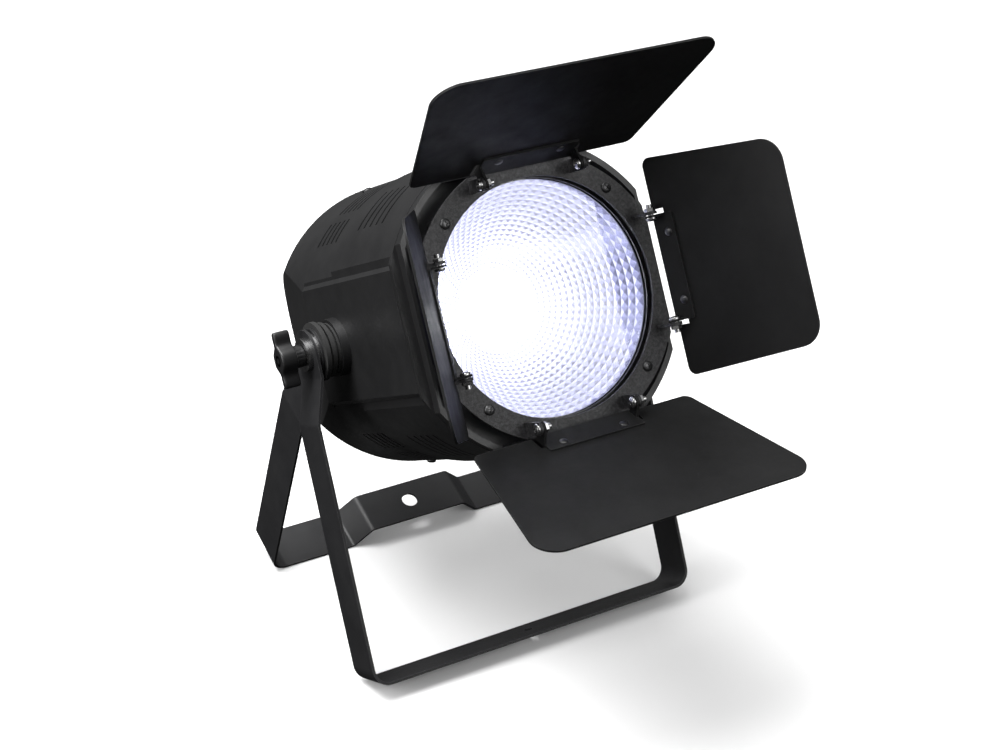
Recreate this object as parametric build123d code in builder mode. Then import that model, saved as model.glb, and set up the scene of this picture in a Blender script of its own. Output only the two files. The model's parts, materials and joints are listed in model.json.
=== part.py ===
"""LED par can with a folding double floor yoke and four barn doors.

Millimetres, +Z up, floor at Z = 0, the beam leaves towards -Y. The pieces of the head are drawn with
the beam along +Z and the head's own up along +Y, and each yoke is drawn hanging straight down from the
trunnion. write() sets every piece in its rest place.
"""
from build123d import *
from math import acos, atan2, cos, degrees, hypot, radians, sin, sqrt
import os

# ---- stance -------------------------------------------------------------------------------------
TILT = 28.0             # beam above level
FRONT_SPLAY = 25.0      # front yoke leg ahead of plumb
PIVOT_Y = 65.3          # sets the middle of the whole outline over the origin
BEAM_RISE = 2.0         # optical axis above the trunnion axis
# ---- flat bar of the two yokes ------------------------------------------------------------------
BAR = 35.0
BAR_THICK = 2.0
FRONT_LEG = 243.5       # trunnion axis to the outer face of the cross bar
REAR_LEG = 240.0
FRONT_HALF = 136.2      # outer half width between the arms
REAR_HALF = 129.0
FRONT_SHOULDER = (18.0, 50.0)   # the front arms slant outwards between these, below the trunnion
REAR_SHOULDER = (20.0, 60.0)
BAR_RAISE = 15.0        # raised middle of the rear cross bar
RAISE_HALF = 41.5
RAMP = 15.0
CLAMP_HOLE = 6.5
# ---- trunnion stack, each face as a distance from the middle of the head ------------------------
CHEEK_FACE = 100.5
BOSS_FACE = 107.0
REAR_PLATE = 119.5
FRONT_PLATE = 124.0
KNOB_FACE = 129.6
WING_FACE = 135.6
KNOB_END = 148.0
STUD_R = 4.0
RUN = 0.05              # radial running clearance
# ---- housing ------------------------------------------------------------------------------------
REAR_R = 108.0
FRONT_R = 109.5
WALL = 3.0
SHELL_FLAT = 97.0
JOIN_Z = -44.0          # shell meets rear cover
STEP_Z = 10.0           # vent panels step out here
FRONT_Z = 116.0
BACK_Z = -120.0
DOME_Z = -88.0
CHEEK_HALF = 45.0
# ---- front --------------------------------------------------------------------------------------
OPENING_R = 82.6
RING_Z = 138.0
RING_THICK = 2.0
RING_FLAT = 90.0
RING_CORNER_R = 98.0
BEZEL_Z = 127.0
HINGE_R = 82.9          # barn door hinge line from the optical axis
HINGE_Z = 155.3
EAR_AT = 38.0
EAR_THICK = 2.0
EAR_R = 4.6
SCREW_R = 2.0
RING_SCREW_AT = 89.6
GLASS_R = 84.4
# ---- barn doors: opening angle from the ring's plane at rest, and outline ------------------------
LEAF_THICK = 1.5
DOORS = {               # name: (turn about the beam, angle, offset, root d, root half, tip d, tip half)
    "top": (0, 66.1, 11.5, -7.0, 85.9, 115.1, 108.0),
    "left": (90, 60.3, 7.2, -3.1, 77.1, 108.2, 69.2),
    "bottom": (180, 60.8, 11.5, -7.0, 85.9, 115.1, 108.0),
    "right": (270, 68.1, 7.2, -3.1, 77.1, 108.2, 69.2),
}
BRACKET_HALF = 37.5
BRACKET_DEEP = 13.0

half_bar = BAR / 2
front_low = radians(FRONT_SPLAY)
pivot_height = FRONT_LEG * cos(front_low) + half_bar * sin(front_low)
rear_reach = hypot(REAR_LEG, half_bar)
REAR_SPLAY = degrees(atan2(half_bar, REAR_LEG) + acos(pivot_height / rear_reach))

os.makedirs("parts", exist_ok=True)


def tilted(angle, rise=0.0):
    """Frame on the trunnion axis whose +Z points forwards and `angle` degrees above level."""
    turn = radians(angle)
    origin = (0, PIVOT_Y + rise * sin(turn), pivot_height + rise * cos(turn))
    return Plane(origin=origin, x_dir=(1, 0, 0), z_dir=(0, -cos(turn), sin(turn)))


HEAD = tilted(TILT, BEAM_RISE).location
FRONT = tilted(FRONT_SPLAY).location
REAR = tilted(-REAR_SPLAY).location


def write(piece, name, place):
    """Label one finished piece, set it in its rest place and write its file."""
    piece.part.label = name
    piece.part.move(place)
    export_step(piece.part, f"parts/{name}.step")


def trunnion_plane(side, x):
    """Plane across the trunnion axis of the head, x out on the given side, +Z outwards."""
    return Plane(origin=(side * x, -BEAM_RISE, 0), x_dir=(0, side, 0), z_dir=(side, 0, 0))


def about_beam(plane, turn):
    """The given plane turned about the optical axis."""
    return Plane(Location((0, 0, 0), (0, 0, turn)) * plane.location)


# ==== rear yoke: the fixed one, with the clamp hole ==============================================
plate_mid = REAR_PLATE + BAR_THICK / 2
arm_mid = REAR_HALF - BAR_THICK / 2
bar_mid = REAR_LEG - BAR_THICK / 2
raised = bar_mid - BAR_RAISE
rear_half_line = [
    (plate_mid, 0),
    (plate_mid, -REAR_SHOULDER[0]),
    (arm_mid, -REAR_SHOULDER[1]),
    (arm_mid, -bar_mid),
    (RAISE_HALF + RAMP, -bar_mid),
    (RAISE_HALF, -raised),
]
rear_line = rear_half_line + [(-x, y) for x, y in reversed(rear_half_line)]
with BuildPart() as rear_yoke:
    with BuildSketch(Plane.XY):
        with BuildLine():
            FilletPolyline(*rear_line, radius=[6, 6, 12, 5, 5, 5, 5, 12, 6, 6])
        trace(line_width=BAR_THICK)
    extrude(amount=half_bar, both=True)
    for side in (-1, 1):
        with BuildSketch(Plane.YZ.offset(side * plate_mid)):
            Circle(half_bar)
        extrude(amount=BAR_THICK / 2, both=True)
    with BuildSketch(Plane.YZ):
        Circle(STUD_R + RUN)
    extrude(amount=REAR_HALF, both=True, mode=Mode.SUBTRACT)
    with BuildSketch(Plane.XZ.offset(raised - BAR_THICK)):
        Circle(CLAMP_HOLE)
    extrude(amount=2 * BAR_THICK, mode=Mode.SUBTRACT)
write(rear_yoke, "rear_yoke", REAR)

# ==== front yoke: folds back over the rear one ===================================================
plate_mid = FRONT_PLATE + BAR_THICK / 2
arm_mid = FRONT_HALF - BAR_THICK / 2
bar_mid = FRONT_LEG - BAR_THICK / 2
front_half_line = [
    (plate_mid, 0),
    (plate_mid, -FRONT_SHOULDER[0]),
    (arm_mid, -FRONT_SHOULDER[1]),
    (arm_mid, -bar_mid),
]
front_line = front_half_line + [(-x, y) for x, y in reversed(front_half_line)]
with BuildPart() as front_yoke:
    with BuildSketch(Plane.XY):
        with BuildLine():
            FilletPolyline(*front_line, radius=[6, 6, 12, 12, 6, 6])
        trace(line_width=BAR_THICK)
    extrude(amount=half_bar, both=True)
    for side in (-1, 1):
        with BuildSketch(Plane.YZ.offset(side * plate_mid)):
            Circle(half_bar)
        extrude(amount=BAR_THICK / 2, both=True)
    with BuildSketch(Plane.YZ):
        Circle(STUD_R + RUN)
    extrude(amount=FRONT_HALF, both=True, mode=Mode.SUBTRACT)
    with BuildSketch(Plane.XZ.offset(bar_mid - BAR_THICK)):
        Circle(CLAMP_HOLE / 2)
    extrude(amount=2 * BAR_THICK, mode=Mode.SUBTRACT)
write(front_yoke, "front_yoke", FRONT)


def washer_pair(name, inner_face, steps, place, axis_y=0.0):
    """One washer on each side of the head, on the trunnion axis, as (thickness, radius) steps outwards."""
    with BuildPart() as washers:
        for side in (-1, 1):
            face = inner_face
            for thick, radius in steps:
                with BuildSketch(Plane(origin=(side * face, axis_y, 0), x_dir=(0, side, 0), z_dir=(side, 0, 0))):
                    Circle(radius)
                    Circle(STUD_R + 6 * RUN, mode=Mode.SUBTRACT)
                extrude(amount=thick)
                face += thick
    write(washers, name, place)


PAD_STEPS = [(1.5, 18.5), (2.5, 16.0), (3.0, 20.0), (2.0, 16.0)]
last_step = REAR_PLATE - BOSS_FACE - RUN - sum(thick for thick, _ in PAD_STEPS)
washer_pair("friction_pads", BOSS_FACE, PAD_STEPS + [(last_step, 21.5)], HEAD, -BEAM_RISE)
washer_pair("yoke_spacer_washers", REAR_PLATE + BAR_THICK,
            [(FRONT_PLATE - REAR_PLATE - BAR_THICK - RUN, 15.0)], REAR)
washer_pair("clamp_washers", FRONT_PLATE + BAR_THICK,
            [(KNOB_FACE - FRONT_PLATE - BAR_THICK - 2 * RUN, 12.0)], FRONT)

# ==== trunnion knobs and their studs =============================================================
WING_SPAN = 41.0
WING_WIDE = 8.5
HUB_R = 8.0
STUD_INNER = 90.0
STUD_OUTER = 144.0
for side, word in ((-1, "left"), (1, "right")):
    with BuildPart() as knob:
        with BuildSketch(trunnion_plane(side, KNOB_FACE)):
            Circle(HUB_R)
        extrude(amount=WING_FACE - KNOB_FACE, taper=-4)
        with BuildSketch(trunnion_plane(side, WING_FACE)):
            SlotOverall(WING_SPAN, WING_WIDE)
            Circle(HUB_R + 1.2)
        extrude(amount=KNOB_END - WING_FACE)
        fillet(knob.faces().sort_by(Axis.X)[0 if side < 0 else -1].edges(), 2.0)
        with BuildSketch(trunnion_plane(side, KNOB_FACE)):
            Circle(STUD_R)
        extrude(amount=STUD_OUTER - KNOB_FACE, mode=Mode.SUBTRACT)
    write(knob, f"knob_{word}", HEAD)
    with BuildPart() as stud:
        with BuildSketch(trunnion_plane(side, STUD_INNER)):
            Circle(STUD_R)
        extrude(amount=STUD_OUTER - STUD_INNER)
    write(stud, f"stud_{word}", HEAD)

# ==== housing shell with vent slots ==============================================================
SLOT = 3.0
REAR_SLOTS = [JOIN_Z + 4 + 8.5 * i for i in range(5)]
FRONT_SLOTS = [35 + 10.5 * i for i in range(5)]
VENTS = [(106, 17, REAR_SLOTS), (128, 11, REAR_SLOTS), (118, 19, FRONT_SLOTS)]  # start, span, rows
CHEEK_SCREWS = [(y, z) for y in (-37, 37) for z in (-35, 106)]
LIP = 12.0
COVER_SCREW_Z = JOIN_Z - 6
COVER_SCREWS_AT = (75, 105, 255, 285)   # near the top and the bottom


def shell_outline(radius, flat):
    """Round housing section with its two side flats, in the current sketch."""
    Circle(radius)
    Rectangle(2 * flat, 4 * radius, mode=Mode.INTERSECT)


with BuildPart() as housing_shell:
    with BuildSketch(Plane.XY.offset(JOIN_Z)):
        shell_outline(REAR_R, SHELL_FLAT)
    extrude(amount=STEP_Z - JOIN_Z)
    with BuildSketch(Plane.XY.offset(STEP_Z)):
        shell_outline(FRONT_R, SHELL_FLAT)
    extrude(amount=FRONT_Z - STEP_Z)
    with BuildSketch(Plane.XY.offset(JOIN_Z - LIP)):
        shell_outline(REAR_R - WALL - 0.2, SHELL_FLAT - WALL - 0.2)
    extrude(amount=LIP)
    with BuildSketch(Plane.XY.offset(JOIN_Z - LIP)):
        shell_outline(REAR_R - 2 * WALL, SHELL_FLAT - 2 * WALL)
    extrude(amount=LIP + WALL, mode=Mode.SUBTRACT)
    with BuildSketch(Plane.XY.offset(JOIN_Z + WALL)):
        shell_outline(REAR_R - WALL, SHELL_FLAT - WALL)
    extrude(amount=FRONT_Z - JOIN_Z, mode=Mode.SUBTRACT)
    for start, span, rows in VENTS:
        for first in (start, 180 - start - span, 180 + start, 360 - start - span):
            with BuildSketch(about_beam(Plane.XZ, first)):
                with Locations(*[(REAR_R, z) for z in rows]):
                    Rectangle(4 * WALL, SLOT)
            revolve(axis=Axis.Z, revolution_arc=span, mode=Mode.SUBTRACT)
    for side in (-1, 1):
        with BuildSketch(trunnion_plane(side, SHELL_FLAT - 3 * WALL)):
            Circle(13.2)
        extrude(amount=4 * WALL, mode=Mode.SUBTRACT)
        with BuildSketch(Plane.YZ.offset(side * SHELL_FLAT)):
            with Locations(*CHEEK_SCREWS):
                Circle(1.8)
        extrude(amount=-side * 2 * WALL, mode=Mode.SUBTRACT)
    for turn in COVER_SCREWS_AT:
        with BuildSketch(Plane(origin=(0, 0, COVER_SCREW_Z), x_dir=(0, 0, 1),
                               z_dir=(cos(radians(turn)), sin(radians(turn)), 0))):
            Circle(1.8)
        extrude(amount=REAR_R, mode=Mode.SUBTRACT)
write(housing_shell, "housing_shell", HEAD)

# ==== side cheeks that carry the trunnion, their inserts and screws ==============================
cheek_middle = (FRONT_Z + JOIN_Z) / 2
for side, word in ((-1, "left"), (1, "right")):
    with BuildPart() as cheek:
        with BuildSketch(Plane.YZ.offset(side * SHELL_FLAT)):
            with Locations((0, cheek_middle)):
                Rectangle(2 * CHEEK_HALF, FRONT_Z - JOIN_Z)
        extrude(amount=side * (CHEEK_FACE - SHELL_FLAT))
        chamfer(cheek.faces().sort_by(Axis.X)[0 if side < 0 else -1].edges().filter_by(Axis.Z), 3.0)
        with BuildSketch(trunnion_plane(side, SHELL_FLAT - 7)):
            Circle(13.0)
        extrude(amount=7 + CHEEK_FACE - SHELL_FLAT)
        with BuildSketch(trunnion_plane(side, CHEEK_FACE)):
            Circle(21.0)
        extrude(amount=BOSS_FACE - CHEEK_FACE)
        with BuildSketch(trunnion_plane(side, SHELL_FLAT - 7)):
            Circle(7.0)
        extrude(amount=BOSS_FACE, mode=Mode.SUBTRACT)
        with BuildSketch(Plane.YZ.offset(side * SHELL_FLAT)):
            with Locations(*CHEEK_SCREWS):
                Circle(1.8)
        extrude(amount=side * 2.8, mode=Mode.SUBTRACT)
    write(cheek, f"cheek_{word}", HEAD)
    with BuildPart() as insert:
        with BuildSketch(trunnion_plane(side, STUD_INNER)):
            Circle(7.0)
            Circle(STUD_R + RUN, mode=Mode.SUBTRACT)
        extrude(amount=BOSS_FACE - STUD_INNER - 0.2)
    write(insert, f"threaded_insert_{word}", HEAD)

with BuildPart() as cheek_screws:
    for side in (-1, 1):
        with BuildSketch(Plane.YZ.offset(side * (SHELL_FLAT - WALL))):
            with Locations(*CHEEK_SCREWS):
                Circle(3.4)
        extrude(amount=-side * 1.7)
        with BuildSketch(Plane.YZ.offset(side * (SHELL_FLAT - WALL))):
            with Locations(*CHEEK_SCREWS):
                Circle(1.7)
        extrude(amount=side * (WALL + 2.5))
write(cheek_screws, "cheek_screws", HEAD)

# ==== rear cover =================================================================================
COVER_FLAT = 100.0
FLAT_SLOPE = 11.0
BACK_R = 84.0
PANEL_HOLE_R = 70.0
PANEL_SCREW_R = 73.0
EYE_Y = 79.2
EYE_HALF = 8.0
WIRE_R = 2.0
slope = radians(FLAT_SLOPE)


def flat_plane(side, inset):
    """Plane of the cover's sloping side flat, pushed inwards by inset, +Z outwards."""
    return Plane(origin=(side * (COVER_FLAT - inset), 0, JOIN_Z), z_dir=(side * cos(slope), 0, -sin(slope)))


with BuildPart() as cover_cavity:
    with BuildSketch(Plane.XZ):
        with BuildLine():
            Polyline((0, JOIN_Z), (REAR_R - WALL, JOIN_Z), (REAR_R - WALL, DOME_Z + 1))
            ThreePointArc((REAR_R - WALL, DOME_Z + 1), (99.8, -107), (BACK_R - 2, BACK_Z + WALL))
            Polyline((BACK_R - 2, BACK_Z + WALL), (0, BACK_Z + WALL), (0, JOIN_Z))
        make_face()
    revolve(axis=Axis.Z)
    for side in (-1, 1):
        split(bisect_by=flat_plane(side, WALL), keep=Keep.BOTTOM)

with BuildPart() as rear_cover:
    with BuildSketch(Plane.XZ):
        with BuildLine():
            Polyline((0, JOIN_Z), (REAR_R, JOIN_Z), (REAR_R, DOME_Z))
            ThreePointArc((REAR_R, DOME_Z), (102.3, -109), (BACK_R, BACK_Z))
            Polyline((BACK_R, BACK_Z), (0, BACK_Z), (0, JOIN_Z))
        make_face()
    revolve(axis=Axis.Z)
    for side in (-1, 1):
        split(bisect_by=flat_plane(side, 0), keep=Keep.BOTTOM)
    add(cover_cavity.part, mode=Mode.SUBTRACT)
    with BuildSketch(Plane.XY.offset(BACK_Z)):
        Circle(PANEL_HOLE_R)
    extrude(amount=2 * WALL, mode=Mode.SUBTRACT)
    with BuildSketch(Plane.XY.offset(BACK_Z)):
        with PolarLocations(PANEL_SCREW_R, 4, start_angle=45):
            Circle(1.6)
        with Locations((0, EYE_Y)):
            Rectangle(22, 4.2)
    extrude(amount=2 * WALL, mode=Mode.SUBTRACT)
    for turn in COVER_SCREWS_AT:
        radial = (cos(radians(turn)), sin(radians(turn)), 0)
        with BuildSketch(Plane(origin=(0, 0, COVER_SCREW_Z), x_dir=(0, 0, 1), z_dir=radial)):
            Circle(1.8)
        extrude(amount=REAR_R + WALL, mode=Mode.SUBTRACT)
write(rear_cover, "rear_cover", HEAD)

with BuildPart() as cover_screws:
    for turn in COVER_SCREWS_AT:
        radial = Vector(cos(radians(turn)), sin(radians(turn)), 0)
        base = Vector(0, 0, COVER_SCREW_Z)
        with BuildSketch(Plane(origin=base + radial * (REAR_R - 8), x_dir=(0, 0, 1), z_dir=radial)):
            Circle(1.7)
        extrude(amount=8.4)
        with BuildSketch(Plane(origin=base + radial * (REAR_R + 0.1), x_dir=(0, 0, 1), z_dir=radial)):
            Circle(3.5)
        extrude(amount=2.0)
write(cover_screws, "cover_screws", HEAD)

# ==== bezel, glass and its seals =================================================================
with BuildPart() as bezel:
    with BuildSketch(Plane.XY.offset(FRONT_Z)):
        Circle(110.2)
        Rectangle(2 * 100.2, 2 * 100.2, mode=Mode.INTERSECT)
    extrude(amount=WALL)
    with BuildSketch(Plane.XY.offset(FRONT_Z)):
        Circle(109.8)
        Rectangle(2 * 93.5, 2 * 93.5, mode=Mode.INTERSECT)
    extrude(amount=BEZEL_Z - FRONT_Z)
    with BuildSketch(Plane.XY.offset(FRONT_Z + WALL)):
        Circle(105.5)
        Rectangle(2 * 91.0, 2 * 91.0, mode=Mode.INTERSECT)
    extrude(amount=BEZEL_Z, mode=Mode.SUBTRACT)
    with BuildSketch(Plane.XY.offset(FRONT_Z)):
        Circle(GLASS_R + 0.4)
    extrude(amount=WALL, mode=Mode.SUBTRACT)
    with BuildSketch(Plane.XY.offset(FRONT_Z)):
        with PolarLocations(RING_SCREW_AT, 4, start_angle=45):
            Circle(1.9)
    extrude(amount=WALL, mode=Mode.SUBTRACT)
write(bezel, "front_bezel", HEAD)


def ring_piece(name, low, high, inner, outer):
    """Plain ring or disc across the beam."""
    with BuildPart() as ring:
        with BuildSketch(Plane.XY.offset(low)):
            Circle(outer)
            if inner:
                Circle(inner, mode=Mode.SUBTRACT)
        extrude(amount=high - low)
    write(ring, name, HEAD)


SEAL_Z = 126.3
GLASS_Z = 127.3
ring_piece("glass_gasket", SEAL_Z, GLASS_Z, 81.5, GLASS_R)
ring_piece("front_glass", GLASS_Z, GLASS_Z + 2, 0, GLASS_R)
ring_piece("glass_retainer", GLASS_Z + 2, GLASS_Z + 3.5, 82.0, GLASS_R + 0.4)

# ==== barn door ring with its hinge ears, standoffs and screws ===================================
with BuildPart() as barndoor_ring:
    with BuildSketch(Plane.XY.offset(RING_Z - RING_THICK)):
        Circle(RING_CORNER_R)
        Rectangle(2 * RING_FLAT, 2 * RING_FLAT, mode=Mode.INTERSECT)
        Circle(OPENING_R, mode=Mode.SUBTRACT)
        with PolarLocations(RING_SCREW_AT, 4, start_angle=45):
            Circle(SCREW_R, mode=Mode.SUBTRACT)
    extrude(amount=RING_THICK)
    for turn in (0, 90, 180, 270):
        for start in (-EAR_AT - EAR_THICK, EAR_AT):
            with BuildSketch(about_beam(Plane.YZ.offset(start), turn)):
                with Locations((HINGE_R, (RING_Z + HINGE_Z) / 2 - RING_THICK / 2)):
                    Rectangle(2 * EAR_R, HINGE_Z - RING_Z + RING_THICK)
                with Locations((HINGE_R, HINGE_Z)):
                    Circle(EAR_R)
                    Circle(SCREW_R + RUN, mode=Mode.SUBTRACT)
            extrude(amount=EAR_THICK)
write(barndoor_ring, "barndoor_ring", HEAD)

with BuildPart() as standoffs:
    with BuildSketch(Plane.XY.offset(FRONT_Z + WALL)):
        with PolarLocations(RING_SCREW_AT, 4, start_angle=45):
            Circle(4.5)
            Circle(SCREW_R, mode=Mode.SUBTRACT)
    extrude(amount=RING_Z - RING_THICK - FRONT_Z - WALL)
write(standoffs, "ring_standoffs", HEAD)

with BuildPart() as ring_screws:
    with BuildSketch(Plane.XY.offset(RING_Z)):
        with PolarLocations(RING_SCREW_AT, 4, start_angle=45):
            Circle(3.7)
    extrude(amount=2.2)
    fillet(ring_screws.faces().group_by(Axis.Z)[-1].edges(), 0.9)
    with BuildSketch(Plane.XY.offset(RING_Z)):
        with PolarLocations(RING_SCREW_AT, 4, start_angle=45):
            Circle(1.8)
    extrude(amount=FRONT_Z - RING_Z)
write(ring_screws, "ring_screws", HEAD)

# ==== hinge screws and nuts ======================================================================
GRIP = 9.6              # from under the screw head to the nut's far face
HEAD_TALL = 2.4
NUT_TALL = 2.6
INNER_FACE = BRACKET_HALF - 1.8
OUTER_FACE = EAR_AT + EAR_THICK


def hinge_point_plane(turn, along, direction):
    """Plane across one hinge line at the given place along it."""
    here = Plane(origin=(along, HINGE_R, HINGE_Z), x_dir=(0, 1, 0), z_dir=(direction, 0, 0))
    return about_beam(here, turn)


HEADS = []
for turn in (0, 180):
    for side in (-1, 1):
        HEADS.append((turn, side, side < 0 if turn == 0 else side > 0))
for turn in (90, 270):
    for side in (-1, 1):
        HEADS.append((turn, side, False))

with BuildPart() as hinge_screws:
    for turn, side, head_outside in HEADS:
        head_at = side * (OUTER_FACE if head_outside else INNER_FACE)
        out = side if head_outside else -side
        with BuildSketch(hinge_point_plane(turn, head_at, out)):
            Circle(3.8)
        extrude(amount=HEAD_TALL)
        with BuildSketch(hinge_point_plane(turn, head_at, out)):
            Circle(SCREW_R)
        extrude(amount=-GRIP)
write(hinge_screws, "hinge_screws", HEAD)

with BuildPart() as hinge_nuts:
    for turn, side, head_outside in HEADS:
        nut_at = side * (INNER_FACE if head_outside else OUTER_FACE)
        out = -side if head_outside else side
        with BuildSketch(hinge_point_plane(turn, nut_at, out)):
            RegularPolygon(4.0, 6)
            Circle(SCREW_R, mode=Mode.SUBTRACT)
        extrude(amount=NUT_TALL)
write(hinge_nuts, "hinge_nuts", HEAD)

# ==== barn doors: each a leaf, its bracket and two rivets ========================================
CORNER = 17.0
RIVET_AT = 24.0
for word, (turn, angle, offset_out, root_d, root_half, tip_d, tip_half) in DOORS.items():
    lean = radians(angle)
    hinge = Plane(origin=(0, HINGE_R, HINGE_Z), x_dir=(1, 0, 0), z_dir=(0, -sin(lean), cos(lean)))
    place = HEAD * Location((0, 0, 0), (0, 0, turn)) * hinge.location
    with BuildPart() as leaf:
        with BuildSketch(Plane.XY.offset(-offset_out)) as leaf_face:
            with BuildLine():
                Polyline((-root_half, root_d), (root_half, root_d), (tip_half, tip_d),
                         (-tip_half, tip_d), close=True)
            make_face()
            fillet(leaf_face.vertices().group_by(Axis.Y)[-1], CORNER)
            fillet(leaf_face.vertices().group_by(Axis.Y)[0], 6.0)
            with Locations((-EAR_AT - EAR_THICK / 2, root_d), (EAR_AT + EAR_THICK / 2, root_d)):
                Rectangle(EAR_THICK + 1.6, 2 * (6 - root_d), mode=Mode.SUBTRACT)
            with Locations((-RIVET_AT, 7), (RIVET_AT, 7)):
                Circle(1.6, mode=Mode.SUBTRACT)
        extrude(amount=-LEAF_THICK)
    write(leaf, f"leaf_{word}", place)
    strip_z = -offset_out
    with BuildPart() as bracket:
        with BuildSketch(Plane.XY.offset(strip_z)):
            with Locations((0, (root_d + BRACKET_DEEP) / 2)):
                RectangleRounded(2 * BRACKET_HALF, BRACKET_DEEP - root_d, 1.4)
            with Locations((-RIVET_AT, 7), (RIVET_AT, 7)):
                Circle(1.6, mode=Mode.SUBTRACT)
        extrude(amount=LEAF_THICK)
        for side in (-1, 1):
            with BuildSketch(Plane.YZ.offset(side * BRACKET_HALF)):
                with Locations((0, strip_z / 2)):
                    Rectangle(2 * EAR_R, offset_out)
                Circle(EAR_R)
                with Locations((0, 0)):
                    Circle(SCREW_R + RUN, mode=Mode.SUBTRACT)
            extrude(amount=-side * LEAF_THICK)
    write(bracket, f"hinge_bracket_{word}", place)
    with BuildPart() as rivets:
        with BuildSketch(Plane.XY.offset(strip_z + LEAF_THICK)):
            with Locations((-RIVET_AT, 7), (RIVET_AT, 7)):
                Circle(3.0)
        extrude(amount=1.0)
        with BuildSketch(Plane.XY.offset(strip_z - LEAF_THICK)):
            with Locations((-RIVET_AT, 7), (RIVET_AT, 7)):
                Circle(1.6)
        extrude(amount=2 * LEAF_THICK)
        with BuildSketch(Plane.XY.offset(strip_z - LEAF_THICK)):
            with Locations((-RIVET_AT, 7), (RIVET_AT, 7)):
                Circle(2.6)
        extrude(amount=-0.8)
    write(rivets, f"leaf_rivets_{word}", place)

# ==== light engine: reflector, LED, heatsink, bulkhead, fan ======================================
THROAT_Z = 46.0
THROAT_R = 15.0
MOUTH_R = 81.8
SHEET = 1.5
bowl = (MOUTH_R ** 2 - THROAT_R ** 2) / (SEAL_Z - SHEET - THROAT_Z)
steps = [THROAT_Z + (SEAL_Z - SHEET - THROAT_Z) * (i / 7) ** 1.6 for i in range(8)]
bowl_line = [(sqrt(THROAT_R ** 2 + bowl * (z - THROAT_Z)), z) for z in steps]
with BuildPart() as reflector:
    with BuildSketch(Plane.XZ):
        with BuildLine():
            Polyline(*bowl_line, (MOUTH_R, SEAL_Z), (GLASS_R, SEAL_Z), (GLASS_R, SEAL_Z - SHEET),
                     *[(r + SHEET, z) for r, z in reversed(bowl_line)], bowl_line[0])
        make_face()
    revolve(axis=Axis.Z)
write(reflector, "reflector", HEAD)

BOARD_Z = 42.0
with BuildPart() as led_board:
    with BuildSketch(Plane.XY.offset(BOARD_Z)):
        RectangleRounded(52, 52, 4)
        with GridLocations(44, 44, 2, 2):
            Circle(1.7, mode=Mode.SUBTRACT)
    extrude(amount=2.0)
write(led_board, "led_board", HEAD)

with BuildPart() as led_chip:
    with BuildSketch(Plane.XY.offset(BOARD_Z + 2)):
        Rectangle(20, 20)
    extrude(amount=1.0)
    with BuildSketch(Plane.XY.offset(BOARD_Z + 3)):
        Circle(9.5)
    extrude(amount=0.8)
write(led_chip, "cob_led", HEAD)

SINK_BASE_Z = 34.0
FIN_END_Z = -20.0
FIN_PITCH = 8.0
FIN_THICK = 1.8
SINK_R = 58.0
with BuildPart() as heatsink:
    with BuildSketch(Plane.XY.offset(SINK_BASE_Z)):
        Circle(66)
    extrude(amount=BOARD_Z - SINK_BASE_Z)
    with BuildSketch(Plane.XY.offset(FIN_END_Z)):
        with GridLocations(FIN_PITCH, 0, 14, 1):
            Rectangle(FIN_THICK, 2 * SINK_R)
        Circle(SINK_R, mode=Mode.INTERSECT)
    extrude(amount=SINK_BASE_Z - FIN_END_Z)
write(heatsink, "heatsink", HEAD)

with BuildPart() as bulkhead:
    with BuildSketch(Plane.XY.offset(SINK_BASE_Z - 2.5)):
        shell_outline(REAR_R - WALL - 0.3, SHELL_FLAT - WALL - 0.3)
        Circle(SINK_R + 1, mode=Mode.SUBTRACT)
        with PolarLocations(85, 12):
            Circle(9, mode=Mode.SUBTRACT)
    extrude(amount=2.5)
write(bulkhead, "bulkhead", HEAD)

FAN_Z = -46.0
FAN_DEEP = 25.0
with BuildPart() as fan_frame:
    with BuildSketch(Plane.XY.offset(FAN_Z)):
        RectangleRounded(92, 92, 5)
        Circle(43.5, mode=Mode.SUBTRACT)
        with GridLocations(82.5, 82.5, 2, 2):
            Circle(2.2, mode=Mode.SUBTRACT)
    extrude(amount=FAN_DEEP)
    with BuildSketch(Plane.XY.offset(FAN_Z)):
        Circle(18)
        for turn in (20, 110, 200, 290):
            with Locations(Location((0, 0, 0), (0, 0, turn))):
                with Locations((30, 0)):
                    Rectangle(32, 4)
    extrude(amount=3)
write(fan_frame, "fan_frame", HEAD)

with BuildPart() as fan_rotor:
    with BuildSketch(Plane.XY.offset(FAN_Z + 4)):
        Circle(17.5)
    extrude(amount=19)
    with Locations((0, 0, FAN_Z + 13.5)):
        with PolarLocations(28.5, 7):
            Box(26, 16, 1.6, rotation=(38, 0, 0))
write(fan_rotor, "fan_rotor", HEAD)

# ==== electronics =================================================================================
DRIVER_Z = -70.0
with BuildPart() as driver_board:
    with BuildSketch(Plane.XY.offset(DRIVER_Z)):
        RectangleRounded(130, 84, 3)
    extrude(amount=1.6)
    with BuildSketch(Plane.XY.offset(DRIVER_Z + 1.6)):
        with Locations((-42, 12)):
            Rectangle(32, 34)
        with Locations((34, 22)):
            Rectangle(24, 22)
    extrude(amount=16)
    with BuildSketch(Plane.XY.offset(DRIVER_Z + 1.6)):
        with Locations((-8, -20), (14, -20), (44, -18)):
            Circle(8)
    extrude(amount=18)
write(driver_board, "driver_board", HEAD)

PANEL_R = 76.0
PANEL_THICK = 2.5
PANEL_Z = BACK_Z - PANEL_THICK
DISPLAY_AT = (0, 48)
BUTTON_XS = (-27, -9, 9, 27)
BUTTON_NAMES = ("menu", "down", "up", "enter")
BUTTON_Y = 27.0
BUTTON_R = 4.3
BUTTON_TRAVEL = 1.2
SOCKETS = {
    "dmx_in_socket": (-27, -4),
    "dmx_out_socket": (27, -4),
    "power_in_socket": (-27, -40),
    "power_out_socket": (27, -40),
}
FUSE_AT = (0, -54)

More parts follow.
